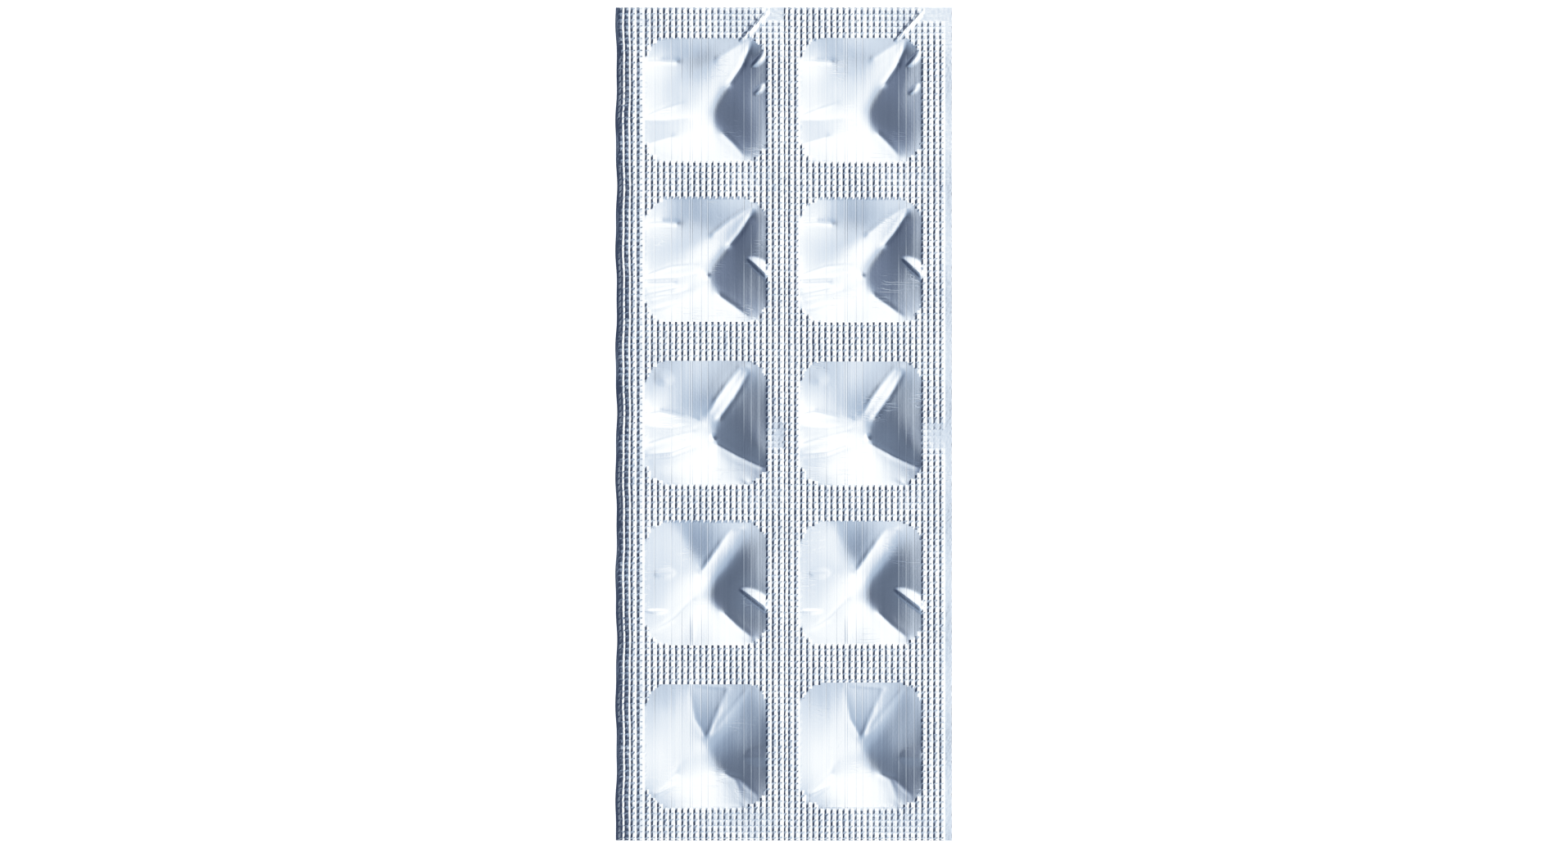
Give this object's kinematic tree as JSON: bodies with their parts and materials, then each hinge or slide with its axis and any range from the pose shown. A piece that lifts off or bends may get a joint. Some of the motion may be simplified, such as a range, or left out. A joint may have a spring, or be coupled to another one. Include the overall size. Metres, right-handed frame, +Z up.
{
  "type": "pill blister pack",
  "caption": "Sealed all-foil pill pack: flat knurled seal web with a creased lid foil over rows of formed rounded-square pockets",
  "frame": {"origin": "centre of the pack's outline, on the plane that the pocket floors rest on", "axes": "+X across the pack to the right-hand edge, +Y along the pack to the far edge, +Z up through the lid foil"},
  "size_m": [0.05, 0.124, 0.0053],
  "materials": {
    "aluminium_foil": "bright bare aluminium foil, smooth and lightly rolled over the pockets, knurled over the seal"
  },
  "bodies": {
    "root": {"blister_pack": "aluminium_foil"}
  },
  "joints": []
}
